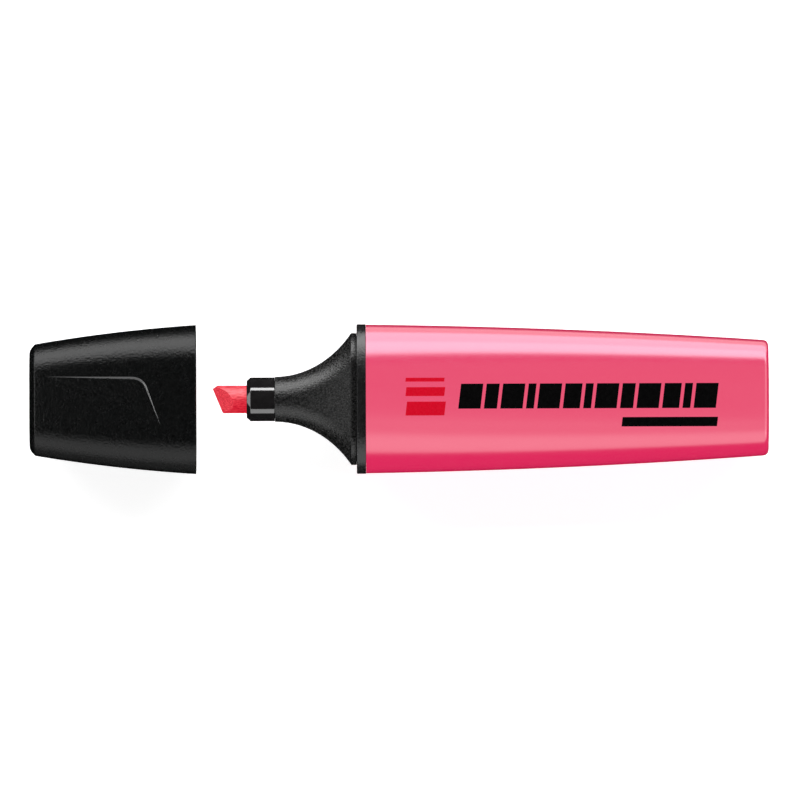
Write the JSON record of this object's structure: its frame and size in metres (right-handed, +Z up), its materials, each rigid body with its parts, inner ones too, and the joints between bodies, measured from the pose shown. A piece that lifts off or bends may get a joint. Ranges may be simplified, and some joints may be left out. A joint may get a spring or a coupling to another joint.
{
  "type": "highlighter",
  "caption": "Flat chisel-tip highlighter with a tapered barrel, a flared neck, a round nib spigot and a pull-off cap.",
  "frame": {"origin": "on the surface the pen lies on, under the middle of the pen with its cap pulled off in line", "axes": "+X from the cap's closed end to the barrel's tail, +Y across the wide faces, +Z up, normal to the wide faces"},
  "size_m": [0.1334, 0.027, 0.0172],
  "materials": {
    "barrel_plastic": "semi-gloss fluorescent pink, moulded",
    "collar_plastic": "satin black, moulded",
    "neck_plastic": "matte black, spark-eroded texture",
    "spigot_plastic": "polished black",
    "nib_fibre": "bonded fibre, inked red-pink",
    "reservoir_fibre": "loose fibre soaked in pink ink",
    "reservoir_film": "thin clear film",
    "cap_plastic": "satin black with a fine grain, moulded",
    "seal_plastic": "off-white, moulded"
  },
  "bodies": {
    "pen": {"barrel": "barrel_plastic", "collar_ring": "collar_plastic", "front_section": "neck_plastic", "nib_holder": "spigot_plastic", "chisel_nib": "nib_fibre", "ink_reservoir_core": "reservoir_fibre", "ink_reservoir_film": "reservoir_film"},
    "cap": {"cap_shell": "cap_plastic", "cap_inner_seal": "seal_plastic"}
  },
  "joints": [
    {"name": "cap_slide", "type": "slide", "parent": "pen", "child": "cap", "axis": [1, 0, 0], "range_m": [0, 0.0289]}
  ]
}
